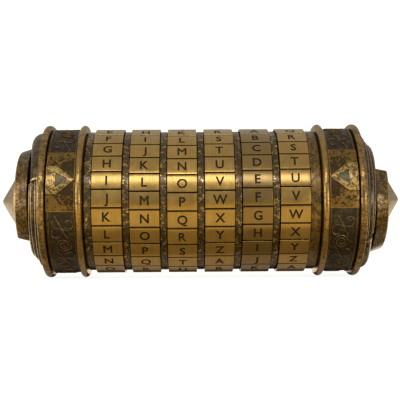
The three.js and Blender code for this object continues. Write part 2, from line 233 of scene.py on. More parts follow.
def rounded(corners, radius, steps=3):
    """A closed outline of (x, r) or (x, r, own radius) corners, as (x, r, edge) points."""
    made = []
    count = len(corners)
    longest = 0.48
    for i, corner in enumerate(corners):
        here = np.array(corner[:2], float)
        before = np.array(corners[i - 1][:2], float) - here
        after = np.array(corners[(i + 1) % count][:2], float) - here
        own = corner[2] if len(corner) > 2 else radius
        # The rounding takes up less than half of the edges beside the corner
        reach = min(own, longest * np.linalg.norm(before), longest * np.linalg.norm(after))
        if reach <= 1e-4:
            made.append((*here, 0.0))
            continue
        start = here + before / np.linalg.norm(before) * reach
        end = here + after / np.linalg.norm(after) * reach
        # The outline runs clockwise, so a right turn is an outer edge
        turn = before[0] * after[1] - before[1] * after[0]
        turn /= np.linalg.norm(before) * np.linalg.norm(after)
        wear = max(-1.0, min(1.0, turn / 0.8))
        for step in range(steps + 1):
            t = step / steps
            point = (1 - t) ** 2 * start + 2 * t * (1 - t) * here + t * t * end
            made.append((*point, wear * math.sin(math.pi * (0.15 + 0.7 * t))))
    return made


def ring_faces(rows, columns, closed=True):
    """Quads between neighbouring rows of a grid whose columns run in a closed loop."""
    faces = []
    for i in range(rows if closed else rows - 1):
        for j in range(columns):
            a, b = i * columns, (i + 1) % rows * columns
            k = (j + 1) % columns
            faces.append((a + j, a + k, b + k, b + j))
    return faces


def turned(profile, tone=0.5):
    """A closed profile of (x, r, edge) points turned round the axis."""
    shape = Shape()
    points, edge = [], []
    for i in range(SEGMENTS):
        for x, r, value in profile:
            points.append(place(x, r, 360 * i / SEGMENTS))
            edge.append(value)
    shape.add(points, edge, ring_faces(SEGMENTS, len(profile)), tone=tone)
    return shape


# Curved plates, cut from an outline of (x, s) points, where s runs along the arc

def inset(outline, distance):
    """The outline moved inwards. It runs anticlockwise."""
    made = []
    count = len(outline)
    for i in range(count):
        here = np.array(outline[i], float)
        into = here - outline[i - 1]
        out = np.array(outline[(i + 1) % count], float) - here
        into, out = into / np.linalg.norm(into), out / np.linalg.norm(out)
        normals = np.array([-into[1], into[0]]) + np.array([-out[1], out[0]])
        made.append(here + normals * distance / (1 + into @ out))
    return made


def levels_between(low, high, count):
    """The inner levels that cut a height into equal parts."""
    return [low + (high - low) * (i + 1) / count for i in range(count - 1)]


def split_at(outline, levels):
    """Where the outline's edges cross the levels, as (edge number, share) pairs in order."""
    marks = []
    for i, here in enumerate(outline):
        following = outline[(i + 1) % len(outline)]
        rise = following[1] - here[1]
        shares = [0.0]
        if abs(rise) > 1e-9:
            shares += [(level - here[1]) / rise for level in levels]
        marks.extend((i, share) for share in sorted(shares) if 0 <= share < 1 - 1e-6)
    return marks


def along(outline, marks):
    """The points of the outline at the marks."""
    points = []
    for i, share in marks:
        here, following = np.array(outline[i]), np.array(outline[(i + 1) % len(outline)])
        points.append(here + (following - here) * share)
    return points


def inside(points, loops):
    """Which points lie inside the loops, by the even-odd rule."""
    points = np.array(points)
    odd = np.zeros(len(points), bool)
    for loop in loops:
        a = np.array(loop)
        b = np.roll(a, -1, axis=0)
        for (x0, y0), (x1, y1) in zip(a, b):
            if y0 == y1:
                continue
            between = (y0 > points[:, 1]) != (y1 > points[:, 1])
            crossing = x0 + (points[:, 1] - y0) * (x1 - x0) / (y1 - y0)
            odd ^= between & (points[:, 0] < crossing)
    return odd


def cut(rim, recess, levels):
    """The rim's area cut along the recess and the levels, as points, faces and their origins."""
    points = [Vector(p) for p in rim]
    edges = [(i, (i + 1) % len(rim)) for i in range(len(rim))]
    for loop in recess:
        first = len(points)
        points.extend(Vector(p) for p in loop)
        edges.extend((first + i, first + (i + 1) % len(loop)) for i in range(len(loop)))
    # The cuts run past the rim on both sides
    reach = max(abs(p[0]) for p in rim) + 1
    for level in levels:
        points.extend((Vector((-reach, level)), Vector((reach, level))))
        edges.append((len(points) - 2, len(points) - 1))
    points, _, faces, origins, _, _ = delaunay_2d_cdt(points, edges, [], 0, 1e-5)
    return points, faces, origins


class Plate:
    """A plate with rounded edges and a recess, as (x, s, depth below the top) points.

    Its faces are of kind 0, the floor of its recess of kind 1 and the recess's walls of kind 2.
    """

    def __init__(self, outline, recess, recess_depth, base_depth, chamfer, lines, lip=0.0):
        self.points, self.edge, self.faces, self.kinds = [], [], [], []
        self.lip = lip
        heights = [p[1] for p in outline]
        levels = levels_between(min(heights), max(heights), lines)
        top = inset(outline, chamfer)
        marks = split_at(top, levels)
        top_ring = self.lay_top(along(top, marks), recess, levels, recess_depth)
        self.lay_side(outline, top_ring, marks, chamfer, base_depth)

    def point(self, xs, depth, edge):
        self.points.append((xs[0], xs[1], depth))
        self.edge.append(edge)
        return len(self.points) - 1

    def lay_top(self, rim, recess, levels, recess_depth):
        """The top inside the rim, with its recess sunk. Gives the rim's points in order."""
        flat, faces, origins = cut(rim, recess, levels)
        middles = [np.mean([flat[i] for i in face], axis=0) for face in faces]
        on_plate = inside(middles, [rim])
        in_recess = inside(middles, recess)
        high, low = {}, {}
        on_lip = {i for i, origin in enumerate(origins) if any(o >= len(rim) for o in origin)}
        for face, kept, sunk in zip(faces, on_plate, in_recess):
            if not kept:
                continue
            store, depth = (low, recess_depth) if sunk else (high, 0.0)
            for i in face:
                if i not in store:
                    edge = 0.0 if sunk else self.lip * (i in on_lip)
                    store[i] = self.point(flat[i], depth, edge)
            self.faces.append([store[i] for i in face])
            self.kinds.append(1 if sunk else 0)
        self.wall_recess(faces, on_plate, in_recess, high, low)
        rim_points = {}
        for index, origin in enumerate(origins):
            if index in high:
                rim_points.update((source, high[index]) for source in origin)
        return [rim_points[i] for i in range(len(rim))]

    def wall_recess(self, faces, on_plate, in_recess, high, low):
        """Joins the recess floor to the top where one face is sunk and its neighbour isn't."""
        sides = {}
        for number, face in enumerate(faces):
            for i in range(len(face)):
                a, b = face[i], face[(i + 1) % len(face)]
                sides.setdefault((min(a, b), max(a, b)), []).append(number)
        for (a, b), owners in sides.items():
            if len(owners) == 2 and in_recess[owners[0]] != in_recess[owners[1]]:
                if on_plate[owners[0]] and on_plate[owners[1]]:
                    self.faces.append([high[a], high[b], low[b], low[a]])
                    self.kinds.append(2)

    def lay_side(self, outline, top_ring, marks, chamfer, base_depth):
        """A rounded edge from the top's rim out to the outline, then a wall down to the base."""
        rings = [top_ring]
        for index in top_ring:
            self.edge[index] = 0.35
        steps = [(out, chamfer * down, value) for out, down, value in PLATE_EDGE]
        for out, depth, value in (*steps, (1.0, base_depth, -1.0)):
            spots = along(inset(outline, chamfer * (1 - out)), marks)
            rings.append([self.point(spot, depth, value) for spot in spots])
        count = len(marks)
        for upper, lower in zip(rings, rings[1:]):
            for i in range(count):
                k = (i + 1) % count
                self.faces.append([upper[i], upper[k], lower[k], lower[i]])
                self.kinds.append(0)
        self.faces.append(rings[-1])
        self.kinds.append(0)

    def lay_on(self, shape, middle_x, angle, radius, tone=0.5, kinds=(0, 1, 2)):
        """Lays the plate on the drum. The tone is one value, or a function of (x, s)."""
        points = []
        for x, s, depth in self.points:
            points.append(place(middle_x + x, radius - depth, angle + math.degrees(s / radius)))
        tones = [tone(x, s) for x, s, _ in self.points] if callable(tone) else tone
        shape.add(points, self.edge, self.faces, [kinds[k] for k in self.kinds], tones)


# Letters

def glyph_mesh(letter):
    """A capital in Blender's own font, as a flat mesh."""
    curve = bpy.data.curves.new("glyph", "FONT")
    curve.body = letter
    curve.resolution_u = 3
    curve.offset = LETTER_WEIGHT
    text = bpy.data.objects.new("glyph", curve)
    bpy.context.scene.collection.objects.link(text)
    bpy.context.view_layer.update()
    mesh = bpy.data.meshes.new_from_object(text)
    bpy.data.objects.remove(text)
    bpy.data.curves.remove(curve)
    return mesh


def glyph_loops(letter):
    """The outline loops of a capital, in the font's own units."""
    mesh = glyph_mesh(letter)
    work = bmesh.new()
    work.from_mesh(mesh)
    bpy.data.meshes.remove(mesh)
    bmesh.ops.remove_doubles(work, verts=work.verts, dist=1e-5)
    following = {}
    for edge in work.edges:
        if len(edge.link_faces) == 1:
            for a, b in (edge.verts, reversed(edge.verts)):
                following.setdefault(a, []).append(b)
    loops, seen = [], set()
    for start in following:
        if start in seen:
            continue
        loop, here, previous = [], start, None
        while here not in seen:
            seen.add(here)
            loop.append((here.co.x, here.co.y))
            ahead = [v for v in following[here] if v is not previous and v not in seen]
            previous, here = here, (ahead[0] if ahead else start)
        loops.append(loop)
    work.free()
    return loops


def letter_loops():
    """Each letter's loops in millimetres, centred across and up the plate."""
    capital = glyph_loops("H")
    foot = min(y for loop in capital for _, y in loop)
    height = max(y for loop in capital for _, y in loop) - foot
    scale = LETTER_HEIGHT / height
    found = {}
    for number in range(LETTERS):
        letter = chr(ord("A") + number)
        loops = glyph_loops(letter)
        across = [x for loop in loops for x, _ in loop]
        middle = (min(across) + max(across)) / 2
        found[letter] = [
            [((x - middle) * scale, (y - foot - height / 2) * scale) for x, y in loop]
            for loop in loops
        ]
    return found


def rectangle(width, height):
    """An outline round the origin, anticlockwise."""
    x, y = width / 2, height / 2
    return [(-x, -y), (x, -y), (x, y), (-x, y)]


def span(node):
    """A node's start and end along X and its greatest radius, in millimetres."""
    low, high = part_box(node)
    return low.x / MM, high.x / MM, max(high.z, -low.z) / MM


# Materials

class Nodes:
    """A material's node tree, with short ways to add and join its nodes."""

    def __init__(self, name):
        self.material = bpy.data.materials.new(name)
        self.material.use_nodes = True
        self.tree = self.material.node_tree
        self.shader = self.tree.nodes["Principled BSDF"]
        self.coords = self.add("ShaderNodeTexCoord").outputs["Object"]

    def add(self, kind, **inputs):
        node = self.tree.nodes.new(kind)
        for name, value in inputs.items():
            self.put(node.inputs[name.replace("_", " ")], value)
        return node

    def put(self, socket, value):
        """Joins a socket to the node's input, or sets the input to a value."""
        if isinstance(value, bpy.types.NodeSocket):
            self.tree.links.new(value, socket)
        else:
            socket.default_value = value

    def stretched(self, x, y, z):
        """The object's coordinates scaled, which draws a pattern out where the scale is small."""
        mapping = self.add("ShaderNodeMapping", Vector=self.coords)
        mapping.inputs["Scale"].default_value = (x, y, z)
        return mapping.outputs[0]

    def noise(self, size_mm, detail=3.0, rough=0.55, vector=None, distortion=0.0):
        node = self.add("ShaderNodeTexNoise", Detail=detail, Roughness=rough, Distortion=distortion)
        node.inputs["Scale"].default_value = 1 / (size_mm * MM)
        self.put(node.inputs["Vector"], vector or self.coords)
        return node.outputs["Fac"]

    def math(self, operation, a, b):
        node = self.tree.nodes.new("ShaderNodeMath")
        node.operation = operation
        self.put(node.inputs[0], a)
        self.put(node.inputs[1], b)
        return node.outputs[0]

    def ramp(self, value, low, high, to_low=0.0, to_high=1.0):
        """A smooth climb from one level to the other while the value runs from low to high."""
        node = self.tree.nodes.new("ShaderNodeMapRange")
        node.interpolation_type = "SMOOTHSTEP"
        for name, given in zip(("Value", "From Min", "From Max", "To Min", "To Max"),
                               (value, low, high, to_low, to_high)):
            self.put(node.inputs[name], given)
        return node.outputs[0]

    def mix(self, share, a, b):
        node = self.tree.nodes.new("ShaderNodeMix")
        node.data_type = "RGBA"
        self.put(node.inputs[0], share)
        for socket, value in ((node.inputs[6], a), (node.inputs[7], b)):
            self.put(socket, (*value, 1) if isinstance(value, tuple) else value)
        return node.outputs[2]

    def attribute(self, name):
        node = self.tree.nodes.new("ShaderNodeAttribute")
        node.attribute_name = name
        return node.outputs["Fac"]

    def bump(self, height, depth_mm, strength):
        node = self.add("ShaderNodeBump", Height=height, Strength=strength)
        node.inputs["Distance"].default_value = depth_mm * MM
        self.put(self.shader.inputs["Normal"], node.outputs[0])

    def finish(self, color, roughness, metallic=1.0, coat=0.0, coat_roughness=0.2, coat_ior=1.6):
        """Joins the looks to the shader and gives the material."""
        self.put(self.shader.inputs["Base Color"], color)
        self.put(self.shader.inputs["Roughness"], roughness)
        self.put(self.shader.inputs["Metallic"], metallic)
        self.put(self.shader.inputs["Coat Weight"], coat)
        self.put(self.shader.inputs["Coat Roughness"], coat_roughness)
        self.put(self.shader.inputs["Coat IOR"], coat_ior)
        return self.material


def satin_gold():
    """Plates: gold lacquer brushed round the ring, with small stains and bright rubbed edges."""
    n = Nodes("satin_gold")
    brushed = n.noise(0.35, 2.0, 0.6, n.stretched(1.0, 0.03, 0.03))
    cloud = n.noise(3.2, 3.0, 0.6)
    stain = n.noise(0.9, 4.0, 0.7)
    edge = n.attribute("edge")
    tone = n.attribute("tone")
    color = n.mix(n.ramp(cloud, 0.3, 0.7), (0.60, 0.365, 0.08), (0.71, 0.45, 0.115))
    color = n.mix(n.ramp(brushed, 0.35, 0.7, 0.0, 0.35), color, (0.40, 0.22, 0.05))
    color = n.mix(n.ramp(stain, 0.60, 0.76, 0.0, 0.55), color, (0.22, 0.12, 0.035))
    color = n.mix(n.math("MULTIPLY", tone, 0.85), color, (0.24, 0.15, 0.045))
    color = n.mix(n.ramp(edge, 0.5, 1.0, 0.0, 0.5), color, (0.80, 0.56, 0.2))
    color = n.mix(n.ramp(edge, -0.05, -0.8, 0.0, 1.0), color, (0.04, 0.024, 0.009))
    rough = n.ramp(n.math("ADD", cloud, n.math("MULTIPLY", brushed, 0.5)), 0.45, 1.05, 0.17, 0.28)
    n.bump(brushed, 0.02, 0.35)
    return n.finish(color, rough, coat=0.8, coat_roughness=0.16)


def mottled(name, bright, dark, worn, size=1.1, cover=(0.42, 0.6), roughness=(0.34, 0.55),
            pits=0.05, coat=0.5, coat_roughness=0.22, metallic=1.0, edge_gain=1.0, tone_gain=0.0):
    """Cast bronze: patina broken by bright metal, pitted, with its edges worn bright.

    The size of the spots and the depth of the pits are in millimetres. The cover says between
    which noise levels the patina gives way, and the roughness is the metal's, then the patina's.
    """
    n = Nodes(name)
    blotch = n.noise(size * 3.2, 3.0, 0.6)
    speck = n.noise(size, 4.0, 0.65, distortion=0.6)
    fine = n.noise(size * 0.4, 3.0, 0.6)
    edge = n.attribute("edge")
    height = n.math("ADD", n.math("MULTIPLY", blotch, 0.45), n.math("MULTIPLY", speck, 0.55))
    shift = n.math("MULTIPLY", n.math("SUBTRACT", n.attribute("tone"), 0.5), tone_gain)
    clear = n.ramp(n.math("ADD", height, shift), *cover)
    color = n.mix(clear, dark, bright)
    color = n.mix(n.ramp(fine, 0.45, 0.6, 0.0, 0.75), color, tuple(0.3 * c for c in bright))
    rub = n.math("ADD", n.math("MULTIPLY", edge, edge_gain), n.math("SUBTRACT", speck, 0.55))
    color = n.mix(n.ramp(rub, 0.35, 0.95), color, worn)
    color = n.mix(n.ramp(edge, -0.1, -0.9), color, tuple(0.35 * c for c in dark))
    rough = n.ramp(clear, 0.0, 1.0, roughness[1], roughness[0])
    relief = n.math("ADD", clear, n.math("MULTIPLY", fine, 0.5))
    n.bump(relief, pits, 0.8)
    return n.finish(color, rough, metallic, coat, coat_roughness, coat_ior=1.9)


def plain(name, color, roughness):
    """A machined inner part: even metal with turning marks and a little tarnish."""
    n = Nodes(name)
    marks = n.noise(0.4, 2.0, 0.6, n.stretched(1.0, 0.05, 0.05))
    tarnish = n.noise(5.0, 4.0, 0.6)
    shade = n.mix(n.ramp(tarnish, 0.4, 0.75, 0.0, 0.6), color, tuple(0.5 * c for c in color))
    rough = n.ramp(tarnish, 0.35, 0.75, roughness, roughness + 0.15)
    n.bump(marks, 0.015, 0.3)
    return n.finish(shade, rough)


# Each mottled look's bright metal, dark patina and worn edge, then how the three are spread

MATERIALS = {
    "satin_gold": satin_gold(),
    "ink": mottled(
        "ink", (0.05, 0.028, 0.008), (0.026, 0.015, 0.005), (0.1, 0.06, 0.02),
        roughness=(0.5, 0.65), coat=0.0, metallic=0.4),
    "groove": mottled(
        "groove", (0.02, 0.012, 0.005), (0.01, 0.006, 0.003), (0.06, 0.035, 0.015),
        roughness=(0.6, 0.7), coat=0.0, metallic=0.5),
    "spacer_bronze": mottled(
        "spacer_bronze", (0.88, 0.57, 0.2), (0.01, 0.006, 0.002), (0.7, 0.48, 0.2),
        size=0.45, cover=(0.54, 0.58), roughness=(0.22, 0.34), pits=0.006,
        coat=0.35, coat_roughness=0.1, edge_gain=0.2),
    "end_bronze": mottled(
        "end_bronze", (0.36, 0.215, 0.058), (0.07, 0.043, 0.014), (0.6, 0.4, 0.15),
        size=0.45, cover=(0.44, 0.54), roughness=(0.28, 0.4), pits=0.01,
        coat=0.25, edge_gain=0.2),
    "worn_rim": mottled(
        "worn_rim", (0.56, 0.34, 0.095), (0.17, 0.095, 0.026), (0.95, 0.7, 0.32),
        size=0.6, cover=(0.44, 0.53), roughness=(0.26, 0.4), pits=0.008,
        coat=0.3, tone_gain=0.16),
    "filigree": mottled(
        "filigree", (0.05, 0.032, 0.013), (0.02, 0.013, 0.006), (0.30, 0.18, 0.06),
        size=1.4, cover=(0.47, 0.62), roughness=(0.4, 0.52), pits=0.03,
        coat=0.25, coat_roughness=0.3, metallic=0.7),
    "scroll": mottled(
        "scroll", (0.15, 0.09, 0.034), (0.04, 0.026, 0.012), (0.36, 0.22, 0.08),
        size=0.8, cover=(0.44, 0.56), roughness=(0.36, 0.5), pits=0.03, coat=0.15),
    "panel": mottled(
        "panel", (0.37, 0.215, 0.05), (0.03, 0.02, 0.008), (0.6, 0.39, 0.14),
        size=0.42, cover=(0.51, 0.55), roughness=(0.32, 0.48), pits=0.04,
        coat=0.15, tone_gain=0.13),
    "pointer": mottled(
        "pointer", (0.78, 0.52, 0.17), (0.1, 0.06, 0.02), (0.95, 0.68, 0.29),
        size=0.6, cover=(0.45, 0.52), roughness=(0.3, 0.45), coat=0.2, edge_gain=0.8),
    "pointer_inlay": mottled(
        "pointer_inlay", (0.2, 0.165, 0.085), (0.11, 0.09, 0.05), (0.3, 0.25, 0.16),
        size=1.0, roughness=(0.35, 0.5), pits=0.02, coat=0.2),
    "collar": mottled(
        "collar", (0.25, 0.15, 0.047), (0.035, 0.022, 0.009), (0.6, 0.43, 0.23),
        size=0.6, cover=(0.48, 0.55), roughness=(0.26, 0.38), pits=0.012,
        coat=0.4, coat_roughness=0.2),
    "aged_bronze": mottled(
        "aged_bronze", (0.40, 0.235, 0.065), (0.042, 0.026, 0.01), (0.7, 0.48, 0.19),
        size=0.42, cover=(0.48, 0.54), roughness=(0.24, 0.38), pits=0.01,
        coat=0.4, coat_roughness=0.18),
    "grey_bronze": mottled(
        "grey_bronze", (0.55, 0.42, 0.29), (0.44, 0.33, 0.22), (0.76, 0.6, 0.44),
        size=1.2, cover=(0.35, 0.65), roughness=(0.4, 0.5), pits=0.01,
        coat=0.3, coat_roughness=0.35, metallic=0.8),
    "blackened": mottled(
        "blackened", (0.07, 0.045, 0.02), (0.025, 0.017, 0.009), (0.2, 0.13, 0.05),
        size=1.2, cover=(0.4, 0.65), coat=0.1),
    "brass": plain("brass", (0.62, 0.44, 0.17), roughness=0.3),
    "steel": plain("steel", (0.42, 0.41, 0.39), roughness=0.32),
}


def dress(piece, body, slot, *nodes):
    """The piece rides on a body and stands for the nodes. The slot is not used."""
    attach(piece, body)
    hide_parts(*nodes)


# The lettered rings

def drum_profile(middle, half, radius):
    corners = [
        (middle - half, RING_BORE),
        (middle - half, radius),
        (middle + half, radius),
        (middle + half, RING_BORE),
    ]
    return rounded(corners, 0.15, 2)


def letter_ring(number, plates):
    """A drum with the alphabet running down its front from the letter on the pointer row."""
    node = f"letter_ring_{number}"
    start, end, _ = span(node)
    middle, half = (start + end) / 2, (end - start) / 2
    floor = RING_RADIUS - PLATE_DEPTH + 0.03
    shape = Shape()
    drum = turned(drum_profile(middle, half - 0.05, floor))
    shape.add(drum.points, [0.0] * len(drum.points), drum.faces, 1)
    first = ord(POINTER_LETTERS[number - 1]) - ord("A")
    top = KEY_ANGLE + RING_PLAY[number - 1]
    for row in range(LETTERS):
        letter = chr(ord("A") + (first + row) % LETTERS)
        tone = RING_SHARE * RING_AGE[number - 1] + PLATE_SHARE * random.random()
        plates[letter].lay_on(shape, middle, top - row * LETTER_STEP, RING_RADIUS, tone, (0, 2, 0))
    names = ("satin_gold", "groove", "ink")
    piece = shape.piece("fine_" + node, [MATERIALS[n] for n in names])
    dress(piece, f"ring_{number}", "satin_gold", node)


def letter_rings():
    """All six rings. They share one plate per letter."""
    start, end, _ = span("letter_ring_1")
    arc = math.radians(LETTER_STEP) * RING_RADIUS - PLATE_GAP
    outline = rectangle(end - start, arc)
    plates = {
        letter: Plate(outline, loops, LETTER_DEPTH, PLATE_DEPTH, PLATE_CHAMFER, PLATE_LINES)
        for letter, loops in letter_loops().items()
    }
    for number in range(1, RING_COUNT + 1):
        letter_ring(number, plates)


letter_rings()


# Turned pieces of the case and the drawer

def spacer(node, material="spacer_bronze", reach=0.0):
    """A flat ring between two letter rings. Its end can reach out to narrow the gap beside it."""
    start, end, _ = span(node)
    end += reach
    corners = [
        (start, SPACER_BORE, 0.0),
        (start, SPACER_RADIUS - SPACER_CROWN, 0.3),
        ((start + end) / 2, SPACER_RADIUS, 0.6),
        (end, SPACER_RADIUS - SPACER_CROWN, 0.3),
        (end, SPACER_BORE, 0.0),
    ]
    piece = turned(rounded(corners, 0.3)).piece("fine_" + node, [MATERIALS[material]])
    dress(piece, CASE, "spacer_bronze", node)


for gap in range(1, RING_COUNT):
    spacer(f"spacer_{gap}")
spacer("left_end_spacer")
spacer("right_end_spacer", "end_bronze", reach=0.25)


def drawer_tube():
    """The drawer's tube, with rounded rims. It shows when the drawer is out."""
    start, end, _ = span("drawer_tube")
    corners = [
        (start, DRAWER_INNER),
        (start, DRAWER_OUTER),
        (end, DRAWER_OUTER),
        (end, DRAWER_INNER),
    ]
    piece = turned(rounded(corners, 0.3)).piece("fine_drawer_tube", [MATERIALS["brass"]])
    dress(piece, DRAWER, "plain_brass", "drawer_tube")


drawer_tube()


# The caps, each shaped facing +X

def rim(side, which, crown, tone):
    """A raised ring with a rounded crown, rubbed bright along its top."""
    node = f"{side}_{which}_rim"
    low, high, radius = span(node)
    start, end = sorted(SIDE[side] * x - STAND_OFF[side] for x in (low, high))
    profile = [(start, CAP_BORE, 0.0)]
    for step in range(CROWN_STEPS + 1):
        turn = math.pi * step / CROWN_STEPS
        along = start + (end - start) * (1 - math.cos(turn)) / 2
        profile.append((along, radius - crown * (1 - math.sin(turn)), 0.4 * math.sin(turn)))
    profile.append((end, CAP_BORE, 0.0))
    piece = turned(profile, tone).on_cap(side).piece("fine_" + node, [MATERIALS["worn_rim"]])
    dress(piece, OWNER[side], "worn_rim_bronze", node)


# The filigree: wires laid on the band along paths of (x, s) points, s running down its face

def spiral(middle, start_radius, end_radius, start, turn, steps):
    """Points round a middle, from an angle through a turn in degrees, as the radius changes."""
    path = []
    for step in range(steps + 1):
        gone = step / steps
        angle = math.radians(start + turn * gone)
        radius = start_radius + (end_radius - start_radius) * gone
        path.append((middle[0] + radius * math.cos(angle), middle[1] + radius * math.sin(angle)))
    return path


def scroll_paths(length):
    """Rosettes along the band, with a slanting stem and two curls in every gap between them."""
    pitch = (length - 2 * FIRST_ROSETTE) / (ROSETTES - 1)
    paths = []
    for number in range(ROSETTES):
        middle = FIRST_ROSETTE + number * pitch
        paths.append(spiral((-0.2, middle), 0.4, ROSETTE_RADIUS, start=1014, turn=-864, steps=80))
    for number in range(ROSETTES + 1):
        middle = FIRST_ROSETTE + (number - 0.5) * pitch
        middle = max(FIRST_ROSETTE / 2, min(length - FIRST_ROSETTE / 2, middle))
        places = np.linspace(-STEM_HALF_LENGTH, STEM_HALF_LENGTH, 24)
        paths.append([(0.5 * t, middle + t) for t in places])
        curl = spiral((1.75, middle - 1.6), CURL_RADIUS, 1.0, start=180, turn=-330, steps=30)
        paths.append(curl)
        paths.append([(-x, 2 * middle - s) for x, s in curl])
    return paths


def wire(shape, path, top_angle):
    """A low rounded wire on the band with tapered ends."""
    section = ((-1.1, -0.2), (-0.75, 0.65), (0, 1), (0.75, 0.65), (1.1, -0.2))
    path = [np.array(p) for p in path]
    last = len(path) - 1
    points, edge = [], []
    for i, here in enumerate(path):
        ahead = path[min(i + 1, last)] - path[max(i - 1, 0)]
        across = np.array([-ahead[1], ahead[0]]) / np.linalg.norm(ahead)
        taper = min(1.0, 0.4 + 0.15 * min(i, last - i))
        for aside, up in section:
            x, s = here + across * aside * WIRE_HALF_WIDTH * taper
            angle = top_angle - math.degrees(s / BAND_RADIUS)
            points.append(place(SCROLL_MIDDLE + x, BAND_RADIUS + up * WIRE_HEIGHT * taper, angle))
            edge.append(0.8 * up)
    shape.add(points, edge, ring_faces(len(path), len(section), closed=False), 1)


def band_ridge(shape, start, end, height):
    """A raised border line round the band."""
    corners = [
        (start, BAND_RADIUS - 0.3, 0.0),
        (start + 0.08, BAND_RADIUS + height),
        (end - 0.08, BAND_RADIUS + height),
        (end, BAND_RADIUS - 0.3, 0.0),
    ]
    ridge = turned(rounded(corners, 0.15))
    shape.add(ridge.points, ridge.edge, ridge.faces, 1)


def filigree_band(side):
    """A dark band between two ridges, with the wires from one edge of the panel to the other."""
    corners = [
        (BAND_START, CAP_BORE, 0.0),
        (BAND_START, BAND_RADIUS),
        (BAND_END, BAND_RADIUS),
        (BAND_END, CAP_BORE, 0.0),
    ]
    shape = turned(rounded(corners, 0.12))
    band_ridge(shape, BAND_START + 0.05, BAND_START + 0.5, height=0.2)
    band_ridge(shape, BAND_END - 0.85, BAND_END - 0.1, height=0.32)
    length = math.radians(360 - PANEL_ARC) * BAND_RADIUS
    for path in scroll_paths(length):
        wire(shape, path, PANEL_ANGLE[side] - PANEL_ARC / 2)
    names = ("filigree", "scroll")
    node = side + "_filigree_band"
    piece = shape.on_cap(side).piece("fine_" + node, [MATERIALS[n] for n in names])
    dress(piece, OWNER[side], "filigree_bronze", node)


def panel_tone(x, s):
    """Dark in the middle of the panel, clean towards its two ends."""
    far = abs(s) + 0.35 * x
    return min(1.0, max(0.0, (far - 3.6) / 2.6))


def arrow_plate(tail, corner):
    """The raised arrow with its tail at x = tail, pointing to -X, and its sunk middle."""
    shoulder, tip = tail - ARROW_BODY, tail - ARROW_LENGTH
    outline = [
        (tail, -ARROW_HALF_WIDTH),
        (tail, ARROW_HALF_WIDTH),
        (shoulder, ARROW_HALF_WIDTH),
        (tip, 0),
        (shoulder, -ARROW_HALF_WIDTH),
    ]
    hollow = [
        (tail - HOLLOW_START, -HOLLOW_HALF_WIDTH),
        (tail - HOLLOW_START, HOLLOW_HALF_WIDTH),
        (tail - HOLLOW_TIP, 0),
    ]
    soft = [(x, s) for x, s, _ in rounded(outline, 0.3, 3)]
    recess = [(x, s) for x, s, _ in rounded(hollow, corner, 5)]
    base_depth = ARROW_TOP - PANEL_TOP + 0.1
    return Plate(soft, [recess], HOLLOW_DEPTH, base_depth, chamfer=0.3, lines=ARROW_LINES, lip=0.6)


def pointer_plate(side):
    """A curved panel with a raised arrow that points at the rings."""
    shape = Shape()
    width = BAND_END - BAND_START - 0.1
    middle = (BAND_START + BAND_END) / 2
    outline = rectangle(width, math.radians(PANEL_ARC) * PANEL_TOP)
    panel = Plate(outline, [], 0, PANEL_TOP - BAND_RADIUS, chamfer=0.3, lines=PANEL_LINES)
    panel.lay_on(shape, middle, PANEL_ANGLE[side], PANEL_TOP, panel_tone)
    arrow = arrow_plate(width / 2 - 0.05, HOLLOW_CORNER[side])
    arrow.lay_on(shape, middle, PANEL_ANGLE[side], ARROW_TOP, kinds=(1, 2, 1))
    names = ("panel", "pointer", "pointer_inlay")
    node = side + "_pointer_plate"
    piece = shape.on_cap(side).piece("fine_" + node, [MATERIALS[n] for n in names])
    dress(piece, OWNER[side], "pointer_brass", node)


# The collar and the knob: profiles that change round the turn, f degrees on from the step

def smooth(value, low, high):
    """Climbs from 0 to 1 while the value runs from low to high."""
    share = max(0.0, min(1.0, (value - low) / (high - low)))
    return share * share * (3 - 2 * share)


def collar_ridges(f):
    """The corners on the stepped side. The lip round the knob climbs away from the step."""
    lip = LIP_START + LIP_RISE * smooth(f, 0, 115)
    rise = smooth(f, 20, 110)
    second = SECOND_START + SECOND_RISE * rise
    third = THIRD_START + THIRD_RISE * rise
    return [
        (COLLAR_BASE, COLLAR_BORE),
        (COLLAR_BASE, 22.35),
        (50.3, 22.35),
        (50.45, 21.3),
        (third, 21.1),
        (third + 0.1, 20.1),
        (third + 0.35, 19.5),
        (second + 0.15, 19.3),
        (second + 0.25, 18.5),
        (lip - 0.1 - 0.7 * rise, 18.25),
        (lip, COLLAR_BORE),
    ]


def collar_shell(f):
    """The corners on the rounded side. It stands lowest at the step."""
    top = SHELL_TOP + SHELL_RISE * smooth(360 - f, 0, 80)
    foot = COLLAR_BASE + 0.8
    corners = [(COLLAR_BASE, COLLAR_BORE), (COLLAR_BASE, COLLAR_RADIUS)]
    for step in range(1, SHELL_STEPS + 1):
        turn = math.radians(90 * step / SHELL_STEPS)
        x = foot + (top - foot) * math.sin(turn)
        corners.append((x, COLLAR_RADIUS - 3.4 * (1 - math.cos(turn))))
    corners += [(top + 0.05, 18.2), (top, COLLAR_BORE)]
    return corners


def collar(side):
    """The ridges swell into the shell round the far side, and the shell ends in a worn step."""
    shape = Shape()
    # The rows crowd together on both sides of the step
    rows = [0, 1.2, *range(3, 357, 3), 358.0, 359.2, 360]
    points, edge = [], []
    for f in rows:
        ridges, shell = np.array(collar_ridges(f)), np.array(collar_shell(f))
        corners = ridges + (shell - ridges) * smooth(f, 122, 210)
        # The last row is drawn in, which rounds the step's edge
        if f == 360:
            corners[2:-1] -= (0.12, 0.12)
        profile = rounded([tuple(c) for c in corners], 0.26, 3)
        at_step = f >= 359
        for x, r, value in profile:
            points.append(place(x, r, STEP_ANGLE[side] + f))
            edge.append(1.0 if at_step and r > 18 else value)
    shape.add(points, edge, ring_faces(len(rows), len(points) // len(rows)))
    node = side + "_collar"
    piece = shape.on_cap(side).piece("fine_" + node, [MATERIALS["collar"]])
    dress(piece, OWNER[side], "aged_bronze", node)


